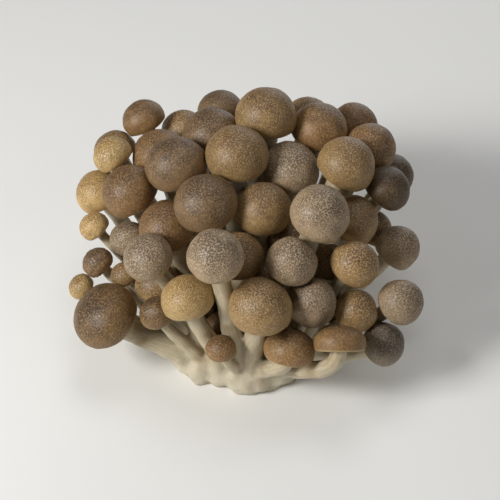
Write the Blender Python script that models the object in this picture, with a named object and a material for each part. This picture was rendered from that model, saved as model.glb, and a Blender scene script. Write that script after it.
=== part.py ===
"""A cluster of brown beech mushrooms, cut from its block and standing on the flat cut.

All the stems rise from one base of fused flesh and are one solid with it. Each cap is a solid
of its own, with a domed top, a rolled-in margin and radial gills underneath, and sits on the
end of its stem. The origin is the middle of the cut face, +X runs to the right along the
cluster's long side, -Y is its front, and +Z is up.
"""

import math
from collections import namedtuple

import bmesh
import bpy
import numpy as np
from mathutils import Vector

MM = 0.001

# The base, a squat block of fused stem ends with a flat cut underneath.
BASE_HALF_WIDTH = 31.5 * MM
BASE_HALF_DEPTH = 25.5 * MM
BASE_HEIGHT = 14 * MM
BASE_SIDES = 24
# Each ring of the base: share of the height, share of the half width and half depth.
BASE_RINGS = ((0.0, 0.92), (0.3, 1.0), (0.7, 0.94), (0.95, 0.76))
BASE_LOBES = ((5, 0.035, 0.4), (9, 0.025, 1.7))

# The roots of the stems stand in an oval on the base, each nearer the middle than its cap.
ROOT_HEIGHT = 5 * MM
ROOT_HALF_WIDTH = 26.5 * MM
ROOT_HALF_DEPTH = 19.5 * MM
ROOT_SHARE_ACROSS = 0.43
ROOT_SHARE_BACK = 0.45
CANOPY_MIDDLE_BACK = 21 * MM

# A cap leans outwards by these slopes for each millimetre from the upright line.
LEAN_PER_MM_ACROSS = 0.0115
LEAN_PER_MM_BACK = 0.0060
UPRIGHT_BACK = 12 * MM

# A stem, in shares of half its cap's width.
STEM_NECK = 0.35
STEM_FOOT = 0.44
STEM_SIDES = 6
STEM_RINGS = 6
STEM_THINNEST = 1.7 * MM
STEM_THICKEST = 4.6 * MM
STEM_BOW = 0.07
GOLDEN_ANGLE = math.radians(137.5)

# A cap's outline from the apex to the margin: share of half the width, share of the dome.
DOME_RINGS = ((0.47, 0.90), (0.82, 0.58), (1.0, 0.0))
# Under the cap, in shares of half the width: distance out, depth, and half the gill's height.
MARGIN = (0.93, -0.34)
GILL_ENDS = ((0.80, -0.30, 0.035), (0.47, -0.17, 0.06))
SOCKET = (0.39, -0.17)
JOINT_GAP = 0.3 * MM
CLEARANCE = 0.45 * MM
UNDERSIDE_REACH = 0.9

# Each mushroom: where the middle of its cap is, how wide the cap is, all in millimetres, how
# high its dome is against half its width, and how far it nods to the back and sways to the
# right, as slopes.
Mushroom = namedtuple("Mushroom", "across back up width dome nod sway", defaults=(0.0, 0.0))
FRONT = (
    Mushroom(-9.5, -22, 26.5, 11.0, 0.85, 0.3),
    Mushroom(15, -20.5, 32, 18.5, 0.80, 0.75),
    Mushroom(34.5, -21, 33, 18.0, 0.65, 1.3, -0.4),
    Mushroom(51.5, -19, 28, 16.0, 0.95),
    Mushroom(-9.5, -12, 25.5, 10.5, 0.85, 0.3),
    Mushroom(-16, -12, 43, 19.0, 0.90, 0.4),
    Mushroom(6, -14.5, 45, 22.0, 0.95, 0.3),
    Mushroom(25, -17.5, 39.5, 17.5, 1.20),
    Mushroom(40.5, -15, 38, 15.5, 1.10),
    Mushroom(-30, -9, 34, 13.0, 0.95, 0.2),
    Mushroom(-52.5, -7, 28.5, 25.0, 0.75),
    Mushroom(31.5, -6.5, 29.5, 14.0, 0.90),
)
LEFT = (
    Mushroom(-63.5, 6.5, 28, 10.0, 0.85),
    Mushroom(-43, 0, 38, 10.0, 0.90),
    Mushroom(-33, -1, 38, 16.5, 0.90),
    Mushroom(-57, 12, 35.5, 12.0, 0.90),
    Mushroom(-33, -3, 54, 18.0, 0.90),
    Mushroom(-56.5, 34, 53, 18.0, 0.95),
    Mushroom(-58.5, 26, 43, 11.5, 0.90),
    Mushroom(-50, 57, 57, 16.5, 0.90),
    Mushroom(-50.5, 41, 62, 15.0, 0.90),
    Mushroom(-44, 10, 49, 13.5, 0.90),
)
RIGHT = (
    Mushroom(52.5, -10, 39, 16.5, 1.10),
    Mushroom(43, -4, 48.5, 17.0, 1.05),
    Mushroom(55, 5, 47.5, 16.5, 1.15),
    Mushroom(47.5, 16.5, 48.5, 15.0, 0.95),
    Mushroom(52, 19.5, 62, 17.5, 0.95),
    Mushroom(57.5, 44, 53.5, 17.0, 0.95),
    Mushroom(46, 42.5, 66, 19.5, 1.05),
    Mushroom(42, 60.5, 63.5, 18.5, 0.95),
    Mushroom(32.5, 6, 43.5, 13.5, 1.05),
)
CROWN = (
    Mushroom(-13.5, -7, 58, 19.5, 0.95),
    Mushroom(-2.5, 3, 51, 18.0, 0.95),
    Mushroom(13, 7, 54, 16.0, 0.90),
    Mushroom(17.5, -6, 52, 18.0, 1.05),
    Mushroom(5, 1, 42, 12.5, 0.95),
    Mushroom(-31, 11, 58, 21, 0.95),
    Mushroom(-11, 10, 66, 22.5, 0.95),
    Mushroom(9, 11, 65, 21, 0.95),
    Mushroom(27, 13, 62, 21.5, 0.95),
    Mushroom(43, 12, 59, 19, 0.95),
    Mushroom(-42, 27, 57, 21, 0.95),
    Mushroom(-23, 28, 68, 22.5, 0.95),
    Mushroom(-2, 27, 73, 23, 0.95),
    Mushroom(18, 28, 72, 22, 0.95),
    Mushroom(36, 30, 68, 21.5, 0.95),
    Mushroom(-33, 45, 64, 21.5, 0.95),
    Mushroom(-13, 45, 71, 22.5, 0.95),
    Mushroom(8, 45, 73, 22.5, 0.95),
    Mushroom(27, 47, 70, 21.5, 0.95),
)
BACK = (
    Mushroom(-25, 63, 63, 17.5, 0.90),
    Mushroom(-38, 59, 62, 16.5, 0.90),
    Mushroom(-9, 63, 66, 17.5, 0.90),
    Mushroom(5, 62, 67, 18.0, 0.90),
    Mushroom(13, 72, 60, 16.0, 0.90),
    Mushroom(26, 62, 65, 18.0, 0.95),
    Mushroom(-19, 66, 46, 12.0, 0.90),
    Mushroom(27, 67, 48, 12.5, 0.90),
)
GROUPS = (
    ("front", FRONT),
    ("left", LEFT),
    ("right", RIGHT),
    ("crown", CROWN),
    ("back", BACK),
)

# How the caps are eased apart until each is clear of the others and of their stems. One gives
# way most easily up and to the front, or down and to the back, so the canopy stays closed.
SETTLING_ROUNDS = 300
PULL_BACK = 0.06
POINTS_PER_RING = 5
EASY_WAY = np.array((0.0, -0.7, 0.7))
STIFF_SHARE = 0.25

# Colours of cream flesh and brown cap skin, and how glossy they are.
FLESH_COLOUR = (0.62, 0.53, 0.38, 1.0)
CAP_COLOUR = (0.27, 0.165, 0.075, 1.0)
FLESH_ROUGHNESS = 0.6
CAP_ROUGHNESS = 0.5


def clear_scene():
    for obj in list(bpy.data.objects):
        bpy.data.objects.remove(obj)


def material(name, colour, roughness):
    made = bpy.data.materials.new(name)
    made.use_nodes = True
    shader = made.node_tree.nodes["Principled BSDF"]
    shader.inputs["Base Color"].default_value = colour
    shader.inputs["Roughness"].default_value = roughness
    shader.inputs["Metallic"].default_value = 0.0
    return made


def new_object(name, mesh_maker, finish):
    """An object whose mesh is what mesh_maker left in a bmesh, shaded smooth but for its edges."""
    mesh = bpy.data.meshes.new(name)
    mesh_maker.normal_update()
    mesh_maker.to_mesh(mesh)
    mesh_maker.free()
    mesh.shade_smooth()
    mesh.set_sharp_from_angle(angle=math.radians(50))
    mesh.materials.append(finish)
    obj = bpy.data.objects.new(name, mesh)
    bpy.context.scene.collection.objects.link(obj)
    return obj


def ring(maker, points):
    return [maker.verts.new(point) for point in points]


def skin(maker, lower, upper):
    """Faces between two rings, seen from outside with upper above. A ring may have twice as many."""
    count = max(len(lower), len(upper))
    low_step = count // len(lower)
    high_step = count // len(upper)
    for i in range(count):
        a, b = lower[i // low_step], lower[(i + 1) // low_step % len(lower)]
        c, d = upper[(i + 1) // high_step % len(upper)], upper[i // high_step]
        corners = [a] + [v for v in (b, c, d) if v is not a]
        corners = [v for k, v in enumerate(corners) if v is not corners[k - 1]]
        for k in range(1, len(corners) - 1):
            maker.faces.new((corners[0], corners[k], corners[k + 1]))


def fan(maker, rim, tip, facing_up):
    centre = maker.verts.new(tip)
    for i, vert in enumerate(rim):
        following = rim[(i + 1) % len(rim)]
        maker.faces.new((vert, following, centre) if facing_up else (following, vert, centre))


class Cluster:
    """Where the caps are, which way they face, and the stems that follow from that."""

    def __init__(self, mushrooms):
        self.centres = np.array([(m.across, m.back, m.up) for m in mushrooms]) * MM
        self.halves = np.array([m.width / 2 for m in mushrooms]) * MM
        self.domes = np.array([m.dome for m in mushrooms])
        self.nods = np.array([(m.sway, m.nod) for m in mushrooms])

    def axes(self):
        """The direction that each dome faces: up, and leaning away from the upright line."""
        slopes = np.ones_like(self.centres)
        slopes[:, 0] = self.centres[:, 0] / MM * LEAN_PER_MM_ACROSS
        slopes[:, 1] = (self.centres[:, 1] - UPRIGHT_BACK) / MM * LEAN_PER_MM_BACK
        slopes[:, :2] += self.nods
        return slopes / np.linalg.norm(slopes, axis=1)[:, None]

    def roots(self):
        """Where each stem starts on the base, kept inside the oval."""
        roots = np.empty_like(self.centres)
        roots[:, 0] = self.centres[:, 0] * ROOT_SHARE_ACROSS
        roots[:, 1] = (self.centres[:, 1] - CANOPY_MIDDLE_BACK) * ROOT_SHARE_BACK
        reach = np.hypot(roots[:, 0] / ROOT_HALF_WIDTH, roots[:, 1] / ROOT_HALF_DEPTH)
        roots[:, :2] /= np.maximum(reach, 1.0)[:, None]
        roots[:, 2] = ROOT_HEIGHT
        return roots

    def stems(self):
        """Points along each stem: a curve that starts steep and ends on the cap's axis."""
        axes, roots = self.axes(), self.roots()
        ends = self.centres + axes * (SOCKET[1] * self.halves - JOINT_GAP)[:, None]
        chord = ends - roots
        length = np.linalg.norm(chord, axis=1)[:, None]
        rise = 0.55 * np.array((0.0, 0.0, 1.0)) + 0.45 * chord / length
        turn = np.arange(len(ends)) * GOLDEN_ANGLE
        bow = np.stack((np.cos(turn), np.sin(turn), np.zeros(len(turn))), axis=1)
        first = roots + rise * length * 0.38 + bow * length * STEM_BOW
        second = ends - axes * length * 0.36
        t = np.linspace(0.0, 1.0, STEM_RINGS)[None, :, None]
        parts = (roots, 3 * first, 3 * second, ends)
        weights = ((1 - t) ** 3, t * (1 - t) ** 2, t * t * (1 - t), t**3)
        return sum(part[:, None, :] * weight for part, weight in zip(parts, weights))

    def thickness(self):
        """Half the thickness of each stem, which tapers from its foot to the neck under the cap."""
        t = np.linspace(0.0, 1.0, STEM_RINGS)[None, :]
        radii = self.halves[:, None] * (STEM_FOOT + (STEM_NECK - STEM_FOOT) * t)
        return np.clip(radii, STEM_THINNEST, STEM_THICKEST)

    def part_caps(self):
        """Moves caps that touch apart, half on each."""
        apart = self.centres[:, None] - self.centres[None]
        distance = np.linalg.norm(apart, axis=2) + np.eye(len(self.centres))
        needed = self.halves[:, None] + self.halves[None] + CLEARANCE
        depth = np.clip(needed - distance, 0.0, None) * (1 - np.eye(len(self.centres)))
        step = give_way(apart / distance[..., None])
        self.centres += (step * depth[..., None] * 0.5).sum(axis=1)

    def part_stems(self):
        """Moves each cap off the stems that run through it, and their own caps the other way."""
        axes = self.axes()
        points, radii = finer(self.stems()), finer(self.thickness()[..., None])[..., 0]
        push = np.zeros_like(self.centres)
        for i, centre in enumerate(self.centres):
            away = points - centre
            along = away @ axes[i]
            side = away - along[..., None] * axes[i]
            reach = np.where(along > 0, self.domes[i], UNDERSIDE_REACH) * self.halves[i]
            level = along / reach * self.halves[i]
            distance = np.sqrt((side**2).sum(axis=2) + level**2)
            depth = self.halves[i] + radii + CLEARANCE - distance
            depth[i] = 0.0
            worst = depth.argmax(axis=1)
            for j in np.flatnonzero(depth.max(axis=1) > 0):
                towards = side[j, worst[j]]
                towards = give_way(towards / (np.linalg.norm(towards) + 1e-9))
                step = 0.4 * depth[j, worst[j]] * towards
                push[i] -= step
                push[j] += step
        self.centres += push

    def settle(self):
        """Eases the caps apart while each is drawn back to its place, less and less."""
        places = self.centres.copy()
        for step in range(SETTLING_ROUNDS):
            pull = PULL_BACK * max(0.0, 1 - 1.5 * step / SETTLING_ROUNDS)
            self.centres += pull * (places - self.centres)
            self.part_stems()
            self.part_caps()


def finer(rings):
    """More points between the rings of each stem, on straight lines from one to the next."""
    shares = np.arange(POINTS_PER_RING) / POINTS_PER_RING
    steps = np.diff(rings, axis=1)[:, :, None]
    filled = rings[:, :-1, None] + steps * shares[None, None, :, None]
    return np.concatenate((filled.reshape(len(rings), -1, rings.shape[2]), rings[:, -1:]), axis=1)


def give_way(towards):
    """The step that gains a unit of distance along these directions, mostly by the easy way."""
    easy = (towards @ EASY_WAY)[..., None] * EASY_WAY
    step = STIFF_SHARE * towards + (1 - STIFF_SHARE) * easy
    return step / ((step * towards).sum(axis=-1, keepdims=True) + 1e-9)


def cap_sides(half):
    return 10 if half < 6.6 * MM else 12


def make_cap(name, half, dome, finish):
    """A cap turned about its own Z, with gills as ridges that alternate round the underside."""
    maker = bmesh.new()
    sides = cap_sides(half)

    def level(count, out, up, gill=0.0):
        points = []
        for i in range(count):
            angle = 2 * math.pi * i / count
            height = up + (gill if i % 2 else -gill)
            points.append((half * out * math.cos(angle), half * out * math.sin(angle), half * height))
        return ring(maker, points)

    socket = level(sides, *SOCKET)
    fan(maker, socket, (0.0, 0.0, half * SOCKET[1]), facing_up=False)
    outer_gills, inner_gills = (level(2 * sides, *place) for place in GILL_ENDS)
    margin = level(sides, *MARGIN)
    rings = [socket, inner_gills, outer_gills, margin]
    rings += [level(sides, out, up * dome) for out, up in reversed(DOME_RINGS)]
    for lower, upper in zip(rings, rings[1:]):
        skin(maker, lower, upper)
    fan(maker, rings[-1], (0.0, 0.0, half * dome), facing_up=True)
    return new_object(name, maker, finish)


def make_stem(name, points, radii, axis, finish):
    """A round stem along its points, closed at both ends and square to the cap's axis at the top."""
    maker = bmesh.new()
    points = [Vector(point) for point in points]
    headings = [points[i + 1] - points[max(i - 1, 0)] for i in range(len(points) - 1)]
    headings.append(Vector(axis))
    rings = []
    across = Vector((1.0, 0.0, 0.0))
    for point, radius, heading in zip(points, radii, headings):
        heading = heading.normalized()
        across = (across - heading * across.dot(heading)).normalized()
        along = heading.cross(across)
        turns = [2 * math.pi * k / STEM_SIDES for k in range(STEM_SIDES)]
        reaches = [across * math.cos(a) + along * math.sin(a) for a in turns]
        rings.append(ring(maker, [point + reach * radius for reach in reaches]))
    fan(maker, rings[0], points[0], facing_up=False)
    for lower, upper in zip(rings, rings[1:]):
        skin(maker, lower, upper)
    fan(maker, rings[-1], points[-1], facing_up=True)
    return new_object(name, maker, finish)


def make_base(name, finish):
    """The squat lobed base, flat underneath."""
    maker = bmesh.new()
    rings = []
    for height, share in BASE_RINGS:
        points = []
        for i in range(BASE_SIDES):
            angle = 2 * math.pi * i / BASE_SIDES
            lobes = sum(size * math.cos(count * angle + at) for count, size, at in BASE_LOBES)
            across = BASE_HALF_WIDTH * share * (1 + lobes) * math.cos(angle)
            back = BASE_HALF_DEPTH * share * (1 + lobes) * math.sin(angle)
            points.append((across, back, BASE_HEIGHT * height))
        rings.append(ring(maker, points))
    fan(maker, rings[0], (0.0, 0.0, 0.0), facing_up=False)
    for lower, upper in zip(rings, rings[1:]):
        skin(maker, lower, upper)
    fan(maker, rings[-1], (0.0, 0.0, BASE_HEIGHT), facing_up=True)
    return new_object(name, maker, finish)


def fuse(body, pieces):
    """Joins the pieces to the body in one Boolean union, and removes them."""
    together = bpy.data.collections.new("fused")
    bpy.context.scene.collection.children.link(together)
    for piece in pieces:
        bpy.context.scene.collection.objects.unlink(piece)
        together.objects.link(piece)
    union = body.modifiers.new("fuse", "BOOLEAN")
    union.operation = "UNION"
    union.operand_type = "COLLECTION"
    union.collection = together
    union.solver = "EXACT"
    bpy.context.view_layer.objects.active = body
    bpy.ops.object.modifier_apply(modifier=union.name)
    for piece in pieces:
        bpy.data.objects.remove(piece)
    bpy.data.collections.remove(together)


def main():
    clear_scene()
    flesh = material("cream_flesh", FLESH_COLOUR, FLESH_ROUGHNESS)
    cap_skin = material("brown_cap_skin", CAP_COLOUR, CAP_ROUGHNESS)
    cluster = Cluster([m for _, group in GROUPS for m in group])
    cluster.settle()
    names = [f"cap_{side}_{k + 1:02d}" for side, group in GROUPS for k in range(len(group))]
    axes = cluster.axes()
    lines, radii = cluster.stems(), cluster.thickness()
    stems = []
    for i, name in enumerate(names):
        cap = make_cap(name, cluster.halves[i], cluster.domes[i], cap_skin)
        cap.location = cluster.centres[i]
        cap.rotation_mode = "QUATERNION"
        cap.rotation_quaternion = Vector(axes[i]).to_track_quat("Z", "Y")
        stems.append(make_stem(f"stem_{i:02d}", lines[i], radii[i], axes[i], flesh))
    fuse(make_base("base_and_stems", flesh), stems)


main()
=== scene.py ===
import math

import bpy
import numpy as np
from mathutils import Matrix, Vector, noise
from mathutils.kdtree import KDTree


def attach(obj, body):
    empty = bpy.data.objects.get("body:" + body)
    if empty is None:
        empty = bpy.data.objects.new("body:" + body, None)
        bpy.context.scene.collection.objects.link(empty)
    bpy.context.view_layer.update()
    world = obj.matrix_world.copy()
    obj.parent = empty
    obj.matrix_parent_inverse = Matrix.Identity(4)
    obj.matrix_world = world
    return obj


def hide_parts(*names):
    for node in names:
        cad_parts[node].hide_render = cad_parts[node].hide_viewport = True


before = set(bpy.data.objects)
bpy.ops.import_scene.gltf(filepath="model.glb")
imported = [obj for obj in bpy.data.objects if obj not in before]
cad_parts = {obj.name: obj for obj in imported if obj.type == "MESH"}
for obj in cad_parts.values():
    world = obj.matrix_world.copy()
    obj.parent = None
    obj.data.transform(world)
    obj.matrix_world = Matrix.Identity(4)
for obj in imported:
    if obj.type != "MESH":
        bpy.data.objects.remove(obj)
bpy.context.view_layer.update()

# Camera and studio. The cluster stands on its cut base and is looked down on by 45 degrees, from
# far enough to keep the caps round. A broad soft light stands at the left and in front, with weak
# ones at the right, above and behind, over a plain pale floor.
MM = 0.001
VIEW_DISTANCE = 550 * MM
VIEW_WIDTH = 195 * MM
VIEW_CENTRE = Vector((2.0, 18.0, 36.5)) * MM
VIEW_SLOPE = math.radians(45)
VIEW_NEAREST = 10 * MM
SENSOR_WIDTH = 36
# Each light: its name, its place and its size in metres, and its power in watts.
LIGHTS = (
    ("key", (-0.55, -0.30, 0.50), 0.25, 5.4),
    ("fill", (0.60, -0.30, 0.45), 0.60, 0.7),
    ("top", (0.05, 0.20, 0.80), 0.35, 1.1),
    ("back", (0.30, 0.75, 0.28), 0.60, 2.0),
)
SKY_COLOUR = "#e6e9ee"
SKY_STRENGTH = 0.09
FLOOR_SIZE = 3.0
FLOOR_COLOUR = "#f1f0ec"
FLOOR_ROUGHNESS = 0.85

away = Vector((0.0, -math.cos(VIEW_SLOPE), math.sin(VIEW_SLOPE)))
bpy.ops.object.camera_add(location=VIEW_CENTRE + away * VIEW_DISTANCE)
camera = bpy.context.object
camera.rotation_euler = away.to_track_quat("Z", "Y").to_euler()
camera.data.sensor_width = SENSOR_WIDTH
camera.data.lens = SENSOR_WIDTH * VIEW_DISTANCE / VIEW_WIDTH
camera.data.clip_start = VIEW_NEAREST
bpy.context.scene.camera = camera
bpy.context.scene.view_settings.view_transform = "Standard"

for name, place, size, power in LIGHTS:
    bpy.ops.object.light_add(type="AREA", location=place)
    light = bpy.context.object
    light.name = name
    light.rotation_euler = (Vector(place) - VIEW_CENTRE).to_track_quat("Z", "Y").to_euler()
    light.data.size = size
    light.data.energy = power


def linear(hex_colour):
    """An sRGB hex colour as linear red, green and blue, with full alpha."""
    channels = [int(hex_colour[k:k + 2], 16) / 255 for k in (1, 3, 5)]
    return [c / 12.92 if c <= 0.04045 else ((c + 0.055) / 1.055) ** 2.4 for c in channels] + [1.0]


def new_material(name):
    """A new material, its node tree and its shader."""
    material = bpy.data.materials.new(name)
    material.use_nodes = True
    return material, material.node_tree, material.node_tree.nodes["Principled BSDF"]


world = bpy.data.worlds.new("studio")
world.use_nodes = True
world.node_tree.nodes["Background"].inputs["Color"].default_value = linear(SKY_COLOUR)
world.node_tree.nodes["Background"].inputs["Strength"].default_value = SKY_STRENGTH
bpy.context.scene.world = world

# The floor is rolled with matt paint, which is plain and pale and hardly shines.
bpy.ops.mesh.primitive_plane_add(size=FLOOR_SIZE)
floor = bpy.context.object
floor.name = "floor"
floor_paint, _, floor_shader = new_material("matt_pale_paint")
floor_shader.inputs["Base Color"].default_value = linear(FLOOR_COLOUR)
floor_shader.inputs["Roughness"].default_value = FLOOR_ROUGHNESS
floor.data.materials.append(floor_paint)


# The base and stems. Beech mushroom stems are firm, smooth and cream, thicker at the foot, and
# grow together into one block that is cut flat from its bed. Each is a bent tube from the block
# to its cap, and a fine remesh grows them together where they touch.
CAP_ORDER = ("front", "left", "right", "crown", "back")
# How far a cap's socket lies under its centre, in shares of half the cap's width, and how nearly
# alike two faces' normals are on one plane.
SOCKET_DEPTH = 0.17
SAME_PLANE = 0.9999

# Where the stems start, and how they lean, rise and bow on their way to the caps.
ROOT_HEIGHT = 5 * MM
ROOT_HALF_WIDTH = 26.5 * MM
ROOT_HALF_DEPTH = 19.5 * MM
ROOT_SHARE_ACROSS = 0.43
ROOT_SHARE_BACK = 0.45
CANOPY_MIDDLE_BACK = 21 * MM
GOLDEN_ANGLE = math.radians(137.5)
STEM_LEAN = 0.45
STEM_RISE = 0.55
STEM_BOW = 0.07
FOOT_HANDLE = 0.38
NECK_HANDLE = 0.36
STEM_INTO_CAP = 0.10

# The stems' thickness, in shares of half the cap's width, and the least and most of it.
STEM_NECK = 0.35
STEM_FOOT = 0.44
STEM_THINNEST = 1.7 * MM
STEM_THICKEST = 4.6 * MM
STEM_ROUNDNESS = 6
STEM_STEPS = 28

# The block. Each ring is its height and its width, in shares of the block's, and each lobe is how
# many go round, how far they stand out, and where they start.
BASE_HALF_WIDTH = 31.5 * MM
BASE_HALF_DEPTH = 25.5 * MM
BASE_HEIGHT = 14 * MM
BASE_SIDES = 96
BASE_RINGS = ((-0.2, 0.88), (0.0, 0.92), (0.3, 1.0), (0.7, 0.94), (0.95, 0.76), (1.0, 0.4))
BASE_LOBES = ((5, 0.035, 0.4), (9, 0.025, 1.7), (23, 0.018, 0.9))

# How finely the stems and the block grow together, and how lumpy they are.
GROWN_TOGETHER = 0.75 * MM
KEPT_FACES = 0.5
SMOOTHING = 0.5
SMOOTHED_TIMES = 3
STEM_UNEVEN = 0.45 * MM
STEM_LUMP = 5 * MM
KNOBBLY_HEIGHT = 20 * MM
KNOB_DEPTH = 1.6 * MM
KNOB_SIZE = 4 * MM
CUT_EXACTNESS = 0.001 * MM


class Cap:
    """Where a cap sits. Its solid's flat socket faces straight down the cap's axis, and its widest
    ring round that axis gives half the cap's width."""

    def __init__(self, name):
        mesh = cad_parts[name].data
        normals = np.array([face.normal for face in mesh.polygons])
        areas = np.array([face.area for face in mesh.polygons])
        centres = np.array([face.center for face in mesh.polygons])
        alike = (normals @ normals.T) > SAME_PLANE
        socket = alike[(alike * areas).sum(axis=1).argmax()]
        middle = (centres[socket] * areas[socket, None]).sum(axis=0) / areas[socket].sum()
        axis = -normals[socket].mean(axis=0)
        axis /= np.linalg.norm(axis)
        away = np.array([vertex.co for vertex in mesh.vertices]) - middle
        along = away @ axis
        self.name = name
        self.axis = axis
        self.half = np.linalg.norm(away - along[:, None] * axis, axis=1).max()
        self.centre = middle + axis * SOCKET_DEPTH * self.half
        self.dome = along.max() / self.half - SOCKET_DEPTH


names = [n for side in CAP_ORDER for n in sorted(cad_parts) if n.startswith(f"cap_{side}")]
caps = [Cap(name) for name in names]


def stem_handles(index, cap):
    """The four points of a stem's curve: its root, its two handles, and its end in the cap."""
    root = np.array([cap.centre[0] * ROOT_SHARE_ACROSS, 0.0, ROOT_HEIGHT])
    root[1] = (cap.centre[1] - CANOPY_MIDDLE_BACK) * ROOT_SHARE_BACK
    reach = math.hypot(root[0] / ROOT_HALF_WIDTH, root[1] / ROOT_HALF_DEPTH)
    root[:2] /= max(reach, 1.0)
    end = cap.centre - cap.axis * cap.half * SOCKET_DEPTH
    length = np.linalg.norm(end - root)
    rise = STEM_LEAN * (end - root) / length + np.array((0.0, 0.0, STEM_RISE))
    turn = index * GOLDEN_ANGLE
    bow = np.array((math.cos(turn), math.sin(turn), 0.0))
    first = root + rise * length * FOOT_HANDLE + bow * length * STEM_BOW
    second = end - cap.axis * length * NECK_HANDLE
    return root, first, second, end + cap.axis * cap.half * STEM_INTO_CAP


bpy.ops.object.select_all(action="DESELECT")
stems = []
for index, cap in enumerate(caps):
    root, first, second, end = stem_handles(index, cap)
    bpy.ops.curve.primitive_bezier_curve_add()
    stem = bpy.context.object
    stem.name = f"stem_{index:02d}"
    stem.data.dimensions = "3D"
    stem.data.bevel_depth = 1.0
    stem.data.bevel_resolution = STEM_ROUNDNESS
    stem.data.use_fill_caps = True
    stem.data.resolution_u = STEM_STEPS
    foot, neck = stem.data.splines[0].bezier_points
    for point in (foot, neck):
        point.handle_left_type = "FREE"
        point.handle_right_type = "FREE"
    foot.co, foot.handle_left, foot.handle_right = root, 2 * root - first, first
    neck.co, neck.handle_left, neck.handle_right = end, second, 2 * end - second
    foot.radius = min(max(cap.half * STEM_FOOT, STEM_THINNEST), STEM_THICKEST)
    neck.radius = min(max(cap.half * STEM_NECK, STEM_THINNEST), STEM_THICKEST)
    stems.append(stem)

# The block is drawn up ring by ring from its underside, and its outline is lobed.
bpy.ops.object.select_all(action="DESELECT")
bpy.ops.mesh.primitive_circle_add(vertices=BASE_SIDES, radius=1.0, fill_type="TRIFAN")
flesh = bpy.context.object
flesh.name = "base_and_stems_flesh"
bpy.ops.object.mode_set(mode="EDIT")
first_height, first_share = BASE_RINGS[0]
bpy.ops.mesh.select_all(action="SELECT")
bpy.ops.transform.resize(value=(BASE_HALF_WIDTH * first_share, BASE_HALF_DEPTH * first_share, 1.0))
bpy.ops.transform.translate(value=(0.0, 0.0, BASE_HEIGHT * first_height))
bpy.ops.mesh.region_to_loop()
for (low, low_share), (high, high_share) in zip(BASE_RINGS, BASE_RINGS[1:]):
    bpy.ops.mesh.extrude_region_move()
    grow = high_share / low_share
    bpy.ops.transform.resize(value=(grow, grow, 1.0))
    bpy.ops.transform.translate(value=(0.0, 0.0, BASE_HEIGHT * (high - low)))
bpy.ops.mesh.edge_face_add()
bpy.ops.mesh.select_all(action="SELECT")
bpy.ops.mesh.normals_make_consistent(inside=False)
bpy.ops.object.mode_set(mode="OBJECT")
for vertex in flesh.data.vertices:
    angle = math.atan2(vertex.co.y / BASE_HALF_DEPTH, vertex.co.x / BASE_HALF_WIDTH)
    lobes = sum(size * math.cos(count * angle + at) for count, size, at in BASE_LOBES)
    vertex.co.x *= 1 + lobes
    vertex.co.y *= 1 + lobes

# Stems and block are joined, grown together, made uneven, and cut flat on the floor.
for stem in stems:
    stem.select_set(True)
bpy.context.view_layer.objects.active = stems[0]
flesh.select_set(False)
bpy.ops.object.convert(target="MESH")
flesh.select_set(True)
bpy.context.view_layer.objects.active = flesh
bpy.ops.object.join()
flesh.data.remesh_voxel_size = GROWN_TOGETHER
bpy.ops.object.voxel_remesh()
thinner = flesh.modifiers.new("thinner", "DECIMATE")
thinner.ratio = KEPT_FACES
bpy.ops.object.modifier_apply(modifier=thinner.name)
bpy.ops.object.mode_set(mode="EDIT")
bpy.ops.mesh.select_all(action="SELECT")
bpy.ops.mesh.vertices_smooth(factor=SMOOTHING, repeat=SMOOTHED_TIMES)
bpy.ops.object.mode_set(mode="OBJECT")
for vertex, facing in zip(flesh.data.vertices, [v.normal.copy() for v in flesh.data.vertices]):
    knobbly = max(0.0, 1 - vertex.co.z / KNOBBLY_HEIGHT)
    lump = STEM_UNEVEN * noise.noise(vertex.co / STEM_LUMP)
    knob = KNOB_DEPTH * knobbly * noise.noise(vertex.co / KNOB_SIZE)
    vertex.co += facing * (lump + knob)
bpy.ops.object.mode_set(mode="EDIT")
bpy.ops.mesh.bisect(
    plane_co=(0, 0, 0), plane_no=(0, 0, 1), clear_inner=True, use_fill=True, threshold=CUT_EXACTNESS
)
bpy.ops.object.mode_set(mode="OBJECT")
flesh.data.shade_smooth()

# The grain runs along each stem: every point keeps where it is across its nearest stem and how
# far along it, so that the fibres bend with the stem. Each stem's grain starts elsewhere.
GRAIN_STEPS = 40
STEM_APART = 13 * MM

nearest = KDTree(len(caps) * GRAIN_STEPS)
frames = []
for index, cap in enumerate(caps):
    root, first, second, end = stem_handles(index, cap)
    t = np.linspace(0.0, 1.0, GRAIN_STEPS)[:, None]
    line = (1 - t) ** 3 * root + 3 * t * (1 - t) ** 2 * first + 3 * t * t * (1 - t) * second + t**3 * end
    across = Vector((1.0, 0.0, 0.0))
    run = 0.0
    for k, point in enumerate(line):
        step = line[min(k + 1, len(line) - 1)] - line[max(k - 1, 0)]
        heading = Vector(step).normalized()
        across = (across - heading * across.dot(heading)).normalized()
        run += np.linalg.norm(line[k] - line[k - 1]) if k else 0.0
        nearest.insert(Vector(point), len(frames))
        frames.append((Vector(point), across.copy(), heading.cross(across), heading, run, index))
nearest.balance()
grain = flesh.data.attributes.new("grain", "FLOAT_VECTOR", "POINT")
for vertex, place in zip(flesh.data.vertices, grain.data):
    point, across, along, heading, run, index = frames[nearest.find(vertex.co)[1]]
    away = vertex.co - point
    shift = index * STEM_APART
    place.vector = (away.dot(across) + shift, away.dot(along) - shift, away.dot(heading) + run)

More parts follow.
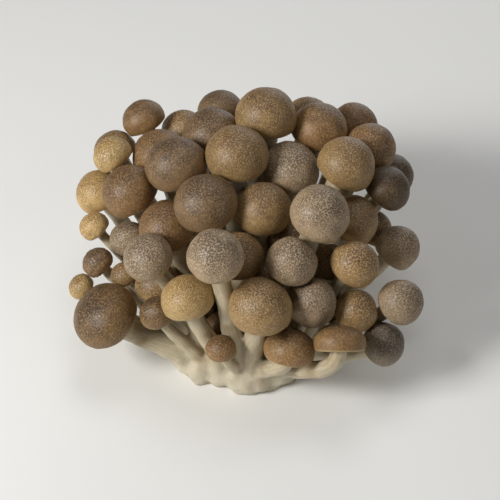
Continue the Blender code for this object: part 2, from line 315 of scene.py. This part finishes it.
# Fresh mushroom flesh: cream, a little see-through, softly satin, with fine fibres along it, a few
# tan bruises, and whiter, felted, duller growth where the feet join. Real fibres are too fine to
# show, so these are drawn coarser.
FLESH_CREAM = "#cdc1a5"
FLESH_FIBRE = "#a89676"
FLESH_BRUISE = "#96794c"
FLESH_FELT = "#dad1ba"
FLESH_CUT = "#b79d6d"
FIBRE_WIDTH = 0.5 * MM
FIBRE_LENGTH = 9 * MM
FIBRE_DEPTH = 0.15 * MM
BRUISE_SIZE = 9 * MM
FELT_HIGHEST = 16 * MM
FELT_FULL = 4 * MM
CUT_HIGHEST = 0.5 * MM
CUT_FULL = 0.1 * MM
SATIN_ABOVE = 20 * MM
DULL_BELOW = 8 * MM
FLESH_DEPTH = 2.5 * MM


def add_node(tree, kind, inputs=None, **settings):
    """A new node with its settings, and each input as a value or as a link from a socket."""
    node = tree.nodes.new(kind)
    for key, value in settings.items():
        setattr(node, key, value)
    for socket, value in (inputs or {}).items():
        if isinstance(value, bpy.types.NodeSocket):
            tree.links.new(value, node.inputs[socket])
        else:
            node.inputs[socket].default_value = value
    return node


flesh_look, tree, shader = new_material("cream_mushroom_flesh")
place = add_node(tree, "ShaderNodeTexCoord").outputs["Object"]
fibres_at = add_node(tree, "ShaderNodeAttribute", attribute_name="grain").outputs["Vector"]
stretched = add_node(
    tree, "ShaderNodeMapping", {"Vector": fibres_at, "Scale": (1.0, 1.0, FIBRE_WIDTH / FIBRE_LENGTH)}
)
fibres = add_node(
    tree,
    "ShaderNodeTexNoise",
    {"Vector": stretched.outputs["Vector"], "Scale": 1 / FIBRE_WIDTH, "Detail": 3.0, "Roughness": 0.6},
).outputs["Fac"]
bruises = add_node(
    tree, "ShaderNodeTexNoise", {"Vector": place, "Scale": 1 / BRUISE_SIZE, "Detail": 3.0}
).outputs["Fac"]
height = add_node(tree, "ShaderNodeSeparateXYZ", {"Vector": place}).outputs["Z"]
fibre_share = add_node(
    tree, "ShaderNodeMapRange", {"Value": fibres, "From Min": 0.3, "From Max": 0.75}
).outputs["Result"]
cream = add_node(
    tree,
    "ShaderNodeMixRGB",
    {"Fac": fibre_share, "Color1": linear(FLESH_CREAM), "Color2": linear(FLESH_FIBRE)},
).outputs["Color"]
bruise_share = add_node(
    tree,
    "ShaderNodeMapRange",
    {"Value": bruises, "From Min": 0.52, "From Max": 0.74, "To Max": 0.6},
).outputs["Result"]
bruised = add_node(
    tree, "ShaderNodeMixRGB", {"Fac": bruise_share, "Color1": cream, "Color2": linear(FLESH_BRUISE)}
).outputs["Color"]
felt_share = add_node(
    tree,
    "ShaderNodeMapRange",
    {"Value": height, "From Min": FELT_HIGHEST, "From Max": FELT_FULL, "To Max": 0.7},
).outputs["Result"]
felted = add_node(
    tree, "ShaderNodeMixRGB", {"Fac": felt_share, "Color1": bruised, "Color2": linear(FLESH_FELT)}
).outputs["Color"]
cut_share = add_node(
    tree,
    "ShaderNodeMapRange",
    {"Value": height, "From Min": CUT_HIGHEST, "From Max": CUT_FULL, "To Max": 0.7},
).outputs["Result"]
cut = add_node(
    tree, "ShaderNodeMixRGB", {"Fac": cut_share, "Color1": felted, "Color2": linear(FLESH_CUT)}
).outputs["Color"]
tree.links.new(cut, shader.inputs["Base Color"])
relief = add_node(
    tree, "ShaderNodeBump", {"Height": fibres, "Strength": 0.5, "Distance": FIBRE_DEPTH}
).outputs["Normal"]
tree.links.new(relief, shader.inputs["Normal"])
dullness = add_node(
    tree,
    "ShaderNodeMapRange",
    {"Value": height, "From Min": SATIN_ABOVE, "From Max": DULL_BELOW, "To Min": 0.38, "To Max": 0.62},
).outputs["Result"]
tree.links.new(dullness, shader.inputs["Roughness"])
shader.inputs["Subsurface Weight"].default_value = 0.2
shader.inputs["Subsurface Radius"].default_value = (1.0, 0.7, 0.4)
shader.inputs["Subsurface Scale"].default_value = FLESH_DEPTH
flesh.data.materials.clear()
flesh.data.materials.append(flesh_look)
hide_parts("base_and_stems")
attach(flesh, "root")


# The caps. Each is a firm dome with a margin rolled in over crowded radial gills, modelled once
# from its top to its socket, and copied. Every copy is a little oval and uneven, and flat where it
# is pressed against its neighbours.
GILLS = 60
# From the top to the margin: turn of the dome's arc in degrees.
DOME_ARC = (8, 17, 26, 35, 44, 53, 62, 70, 77, 84, 90)
# Round the margin and under it, in shares of half the width: distance out, height, gill depth.
UNDERSIDE = (
    (1.0, -0.09, 0.0),
    (0.985, -0.18, 0.0),
    (0.960, -0.27, 0.0),
    (0.930, -0.325, 0.0),
    (0.900, -0.335, 0.0),
    (0.875, -0.305, 0.0),
    (0.850, -0.265, 0.020),
    (0.790, -0.265, 0.055),
    (0.690, -0.240, 0.075),
    (0.580, -0.205, 0.070),
    (0.470, -0.175, 0.055),
    (0.400, -0.165, 0.015),
    (0.340, -0.160, 0.0),
)
# Where the underside starts, and how far out its gills and its gill colour reach.
UNDER_HEIGHT = -0.1
GILLS_OUT_TO = 0.86
GILL_COLOUR_OUT_TO = 0.91
# How far from the top a point is: 1 at the margin, and on the gills 2 for a crest, 3 for a groove.
FURTHEST_SKIN = 1.4
GILL_CREST = 2.0
ON_GILLS = 1.5

bpy.ops.object.select_all(action="DESELECT")
profile = [(math.sin(math.radians(a)), math.cos(math.radians(a)), 0.0) for a in DOME_ARC]
profile += list(UNDERSIDE)
bpy.ops.mesh.primitive_circle_add(vertices=2 * GILLS, radius=profile[0][0], fill_type="TRIFAN")
pattern_cap = bpy.context.object
pattern_cap.name = "pattern_cap"
bpy.ops.object.mode_set(mode="EDIT")
bpy.ops.mesh.select_all(action="SELECT")
bpy.ops.transform.translate(value=(0.0, 0.0, profile[0][1]))
bpy.ops.mesh.region_to_loop()
for (out, up, _), (next_out, next_up, _) in zip(profile, profile[1:]):
    bpy.ops.mesh.extrude_region_move()
    bpy.ops.transform.resize(value=(next_out / out, next_out / out, 1.0))
    bpy.ops.transform.translate(value=(0.0, 0.0, next_up - up))
bpy.ops.mesh.edge_face_add()
bpy.ops.mesh.poke()
bpy.ops.mesh.select_all(action="SELECT")
bpy.ops.mesh.normals_make_consistent(inside=False)
bpy.ops.object.mode_set(mode="OBJECT")
pattern = pattern_cap.data

# The pattern's top is raised to the dome's, and every second spoke underneath is a gill's crest.
points = np.array([vertex.co for vertex in pattern.vertices])
points[0] = (0.0, 0.0, 1.0)
reach = np.hypot(points[:, 0], points[:, 1])
spoke = np.round(np.arctan2(points[:, 1], points[:, 0]) * GILLS / math.pi).astype(int)
under = points[:, 2] < UNDER_HEIGHT
outs, _, depths = zip(*reversed(UNDERSIDE))
ridge = np.interp(reach, outs, depths) * np.where(spoke % 2, 1.0, -1.0)
points[:, 2] += np.where(under & (reach < GILLS_OUT_TO), ridge, 0.0)
turned = np.arctan2(reach, points[:, 2]) / (math.pi / 2)
on_gills = under & (reach < GILL_COLOUR_OUT_TO)
from_top = np.where(on_gills, GILL_CREST + (spoke % 2), np.clip(turned, 0.0, FURTHEST_SKIN))

# The skin laid flat: each point goes out from the top by about its way over the dome.
spread = 2 * np.sin(turned * math.pi / 4) / np.maximum(reach, 1e-6)
flat_skin = np.stack((points[:, 0] * spread, points[:, 1] * spread, np.zeros(len(points))), axis=1)

# How each copy differs. Lumps, ripples and folds are counted over half the cap's width.
CAP_FULLNESS = 1.045
OVAL = 0.035
UNEVEN = 0.028
LUMPS = 1.6
RIPPLES = 4.5
RIPPLE_SHARE = 0.35
UNEVEN_UNDER = 0.5
FOLDS = 3.5
WRINKLED = {"cap_left_04": 0.09, "cap_left_07": 0.05}
LUMPS_APART_ACROSS = 3.1
LUMPS_APART_BACK = 1.7
NEIGHBOUR_REACH = 1.2
CONTACT_GAP = 0.12 * MM
CONTACT_SOFTNESS = 0.5 * MM
SHAPE_SEED = 11


def shaped(index, cap):
    """The pattern's points at a cap's size and place, uneven, and pressed flat by its neighbours."""
    chance = np.random.default_rng(index + SHAPE_SEED)
    stretch = 1 + OVAL * chance.uniform(-1, 1)
    turn = chance.uniform(0, math.pi)
    spun = np.array(((math.cos(turn), -math.sin(turn)), (math.sin(turn), math.cos(turn))))
    local = points.copy()
    local[:, :2] = (local[:, :2] @ spun) * (stretch, 1 / stretch)
    local[:, 2] *= np.where(local[:, 2] > 0, cap.dome, 1.0)
    seed = Vector((index * LUMPS_APART_ACROSS, index * LUMPS_APART_BACK, 0.0))
    for k, point in enumerate(local):
        where = Vector(point)
        lump = noise.noise(where * LUMPS + seed) + RIPPLE_SHARE * noise.noise(where * RIPPLES + seed)
        fold = WRINKLED.get(cap.name, 0.0) * abs(noise.noise(where * FOLDS - seed))
        local[k] *= 1 - fold + UNEVEN * lump * (1.0 if from_top[k] < ON_GILLS else UNEVEN_UNDER)
    basis = np.array(Vector(cap.axis).to_track_quat("Z", "Y").to_matrix())
    away = local @ basis.T * cap.half * CAP_FULLNESS
    for other in caps:
        between = other.centre - cap.centre
        distance = np.linalg.norm(between)
        if other is cap or distance > NEIGHBOUR_REACH * (cap.half + other.half):
            continue
        towards = between / distance
        wall = distance * cap.half / (cap.half + other.half) - CONTACT_GAP
        past = away @ towards - (wall - CONTACT_SOFTNESS)
        kept = CONTACT_SOFTNESS * (1 - np.exp(-np.clip(past, 0.0, None) / CONTACT_SOFTNESS))
        away += np.where(past > 0, kept - past, 0.0)[:, None] * towards
    return away + cap.centre


# Cap skin is dry and satin: golden at the margin and browner at the crown, marbled, with close dark
# specks in a paler net that come in clouds and thin out towards the margin.
SPECK_COLOUR = "#2f1e0c"
EDGE_COLOUR = "#d2bb8a"
SPECK_SPACING = 0.70 * MM
SPECK_STRAY = 0.22 * MM
SPECK_DEPTH = 0.12 * MM
SKIN_DEPTH = 1.0 * MM
# Each noise: its size, where it starts and ends, and its share at its start and at its end.
SKIN_NOISES = {
    "marble": (4.5 * MM, 0.25, 0.75, 0.0, 0.7),
    "clouds": (3.5 * MM, 0.38, 0.62, 0.55, 1.0),
    "patches": (2.2 * MM, 0.5, 0.75, 0.0, 0.35),
    "flecks": (0.8 * MM, 0.54, 0.66, 0.0, 0.45),
}
# Each cap's mesh keeps a colour for each of these.
CAP_ZONES = ("crown_colour", "margin_colour", "net_colour")

skin_look, tree, shader = new_material("speckled_cap_skin")
place = add_node(tree, "ShaderNodeTexCoord").outputs["Object"]
share = {}
for name, (size, low, high, least, most) in SKIN_NOISES.items():
    field = add_node(tree, "ShaderNodeTexNoise", {"Vector": place, "Scale": 1 / size}).outputs["Fac"]
    limits = {"Value": field, "From Min": low, "From Max": high, "To Min": least, "To Max": most}
    share[name] = add_node(tree, "ShaderNodeMapRange", limits).outputs["Result"]
from_mesh = {
    kept: add_node(tree, "ShaderNodeAttribute", attribute_name=kept).outputs
    for kept in ("from_top", "flat_skin", "speckled", *CAP_ZONES)
}
crown, margin, pale = (from_mesh[zone]["Color"] for zone in CAP_ZONES)
towards_margin = add_node(
    tree, "ShaderNodeMath", {0: from_mesh["from_top"]["Fac"], 1: share["marble"]}, operation="ADD"
).outputs["Value"]
margin_share = add_node(
    tree, "ShaderNodeMapRange", {"Value": towards_margin, "From Min": 0.45, "From Max": 1.3}
).outputs["Result"]
edge_share = add_node(
    tree,
    "ShaderNodeMapRange",
    {"Value": from_mesh["from_top"]["Fac"], "From Min": 1.16, "From Max": 1.22, "To Max": 0.55},
).outputs["Result"]
stray = add_node(
    tree, "ShaderNodeTexNoise", {"Vector": place, "Scale": 0.5 / SPECK_SPACING}
).outputs["Color"]
strayed = add_node(
    tree,
    "ShaderNodeVectorMath",
    {0: stray, 1: (SPECK_STRAY, SPECK_STRAY, SPECK_STRAY), 2: from_mesh["flat_skin"]["Vector"]},
    operation="MULTIPLY_ADD",
).outputs["Vector"]
from_speck = add_node(
    tree,
    "ShaderNodeTexVoronoi",
    {"Vector": strayed, "Scale": 1 / SPECK_SPACING, "Randomness": 0.9},
    voronoi_dimensions="2D",
).outputs["Distance"]
speck_share = add_node(
    tree, "ShaderNodeMapRange", {"Value": from_speck, "From Min": 0.38, "From Max": 0.12}
).outputs["Result"]
speck_fade = add_node(
    tree,
    "ShaderNodeMapRange",
    {"Value": towards_margin, "From Min": 0.7, "From Max": 1.5, "To Min": 1.0, "To Max": 0.15},
).outputs["Result"]
for fade in (speck_fade, share["clouds"], from_mesh["speckled"]["Fac"]):
    speck_share = add_node(
        tree, "ShaderNodeMath", {0: speck_share, 1: fade}, operation="MULTIPLY"
    ).outputs["Value"]
net = add_node(
    tree,
    "ShaderNodeMapRange",
    {"Value": from_speck, "From Min": 0.42, "From Max": 0.72, "To Max": 0.42},
).outputs["Result"]
skin = crown
for coat_share, coat in (
    (margin_share, margin),
    (net, pale),
    (share["patches"], crown),
    (share["flecks"], pale),
    (speck_share, linear(SPECK_COLOUR)),
    (edge_share, linear(EDGE_COLOUR)),
):
    skin = add_node(
        tree, "ShaderNodeMixRGB", {"Fac": coat_share, "Color1": skin, "Color2": coat}
    ).outputs["Color"]
tree.links.new(skin, shader.inputs["Base Color"])
relief = add_node(
    tree,
    "ShaderNodeBump",
    {"Height": speck_share, "Strength": 0.4, "Distance": SPECK_DEPTH},
    invert=True,
).outputs["Normal"]
tree.links.new(relief, shader.inputs["Normal"])
shader.inputs["Roughness"].default_value = 0.52
shader.inputs["Subsurface Weight"].default_value = 0.05
shader.inputs["Subsurface Radius"].default_value = (1.0, 0.6, 0.3)
shader.inputs["Subsurface Scale"].default_value = SKIN_DEPTH

# Gills are thin, dull blades of cream flesh, a little stained, with painted shade down in the grooves.
GILL_CREAM = "#d9cba8"
GILL_STAIN = "#b49c70"
GROOVE_PAINTED_SHADE = "#8a7045"
STAIN_SIZE = 3 * MM
GILL_DEPTH = 1.5 * MM

gill_look, tree, shader = new_material("cream_gills")
place = add_node(tree, "ShaderNodeTexCoord").outputs["Object"]
stains = add_node(tree, "ShaderNodeTexNoise", {"Vector": place, "Scale": 1 / STAIN_SIZE}).outputs["Fac"]
stain_share = add_node(
    tree, "ShaderNodeMapRange", {"Value": stains, "From Min": 0.35, "From Max": 0.75}
).outputs["Result"]
stained = add_node(
    tree,
    "ShaderNodeMixRGB",
    {"Fac": stain_share, "Color1": linear(GILL_CREAM), "Color2": linear(GILL_STAIN)},
).outputs["Color"]
how_deep = add_node(tree, "ShaderNodeAttribute", attribute_name="from_top").outputs["Fac"]
# Painted shade: the gill colour darkens towards the grooves between the blades.
groove_shade_share = add_node(
    tree,
    "ShaderNodeMapRange",
    {"Value": how_deep, "From Min": GILL_CREST, "From Max": GILL_CREST + 1, "To Max": 0.6},
).outputs["Result"]
groove_shaded = add_node(
    tree, "ShaderNodeMixRGB", {"Fac": groove_shade_share, "Color1": stained, "Color2": linear(GROOVE_PAINTED_SHADE)}
).outputs["Color"]
tree.links.new(groove_shaded, shader.inputs["Base Color"])
shader.inputs["Roughness"].default_value = 0.6
shader.inputs["Subsurface Weight"].default_value = 0.15
shader.inputs["Subsurface Radius"].default_value = (1.0, 0.7, 0.4)
shader.inputs["Subsurface Scale"].default_value = GILL_DEPTH

# The caps' colours at the crown, at the margin and in the pale net, and how strongly they are
# speckled, and then which cap is of which kind, in the order of their numbers.
CAP_COLOURS = {
    "golden": ("#957445", "#be9d65", "#d9bf8b", 0.9),
    "ochre": ("#715537", "#9a7b4e", "#c2a577", 0.9),
    "orange": ("#61472e", "#8b693f", "#b08d61", 0.85),
    "rosy": ("#73604c", "#9f8769", "#c6b191", 1.0),
    "dark": ("#54402e", "#7c6141", "#a28660", 1.0),
    # Partly painted shade: this kind is the caps' own dark olive brown, darkened further for the shade
    # that falls on them.
    "deep": ("#403020", "#5f4930", "#84704f", 1.0),
    "russet": ("#463223", "#7f6139", "#ab8b5c", 1.0),
    "grey": ("#54483d", "#766752", "#a09078", 0.9),
}
CAP_KINDS = {
    "front": "orange orange orange grey orange golden ochre rosy ochre russet russet ochre",
    "left": "golden ochre ochre dark rosy golden golden ochre golden rosy",
    # The fifth and sixth right-hand caps carry painted shade in their darker colours.
    "right": "rosy ochre rosy ochre deep deep orange orange ochre",
    "crown": "rosy ochre ochre rosy ochre orange dark ochre rosy ochre "
    "orange dark ochre rosy ochre orange dark ochre orange",
    "back": "ochre orange dark ochre rosy ochre orange dark",
}
SKIN_APART = 50 * MM
SHADE_DARKEST = 0.85
SHADE_LIGHTEST = 1.15
SHADE_SEED = 101

gill_faces = [from_top[list(face.vertices)].min() > ON_GILLS for face in pattern.polygons]
for index, cap in enumerate(caps):
    mesh = pattern.copy()
    mesh.vertices.foreach_set("co", shaped(index, cap).ravel())
    mesh.attributes.new("from_top", "FLOAT", "POINT").data.foreach_set("value", from_top)
    place = flat_skin * cap.half + np.array((index * SKIN_APART, 0.0, 0.0))
    mesh.attributes.new("flat_skin", "FLOAT_VECTOR", "POINT").data.foreach_set("vector", place.ravel())
    _, side, number = cap.name.split("_")
    kind = CAP_KINDS[side].split()[int(number) - 1]
    chance = np.random.default_rng(index + SHADE_SEED)
    *colours, speckled = CAP_COLOURS[kind]
    strength = np.full(len(points), speckled)
    mesh.attributes.new("speckled", "FLOAT", "POINT").data.foreach_set("value", strength)
    for zone, colour in zip(CAP_ZONES, colours):
        shade = np.array(linear(colour)) * chance.uniform(SHADE_DARKEST, SHADE_LIGHTEST)
        everywhere = np.tile(shade, (len(points), 1))
        mesh.attributes.new(zone, "FLOAT_COLOR", "POINT").data.foreach_set("color", everywhere.ravel())
    for look in (skin_look, gill_look):
        mesh.materials.append(look)
    mesh.polygons.foreach_set("material_index", np.array(gill_faces, dtype=np.int32))
    mesh.shade_smooth()
    mesh.update()
    piece = bpy.data.objects.new(f"{cap.name}_skin_and_gills", mesh)
    bpy.context.scene.collection.objects.link(piece)
    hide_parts(cap.name)
    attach(piece, "root")
bpy.data.objects.remove(pattern_cap)
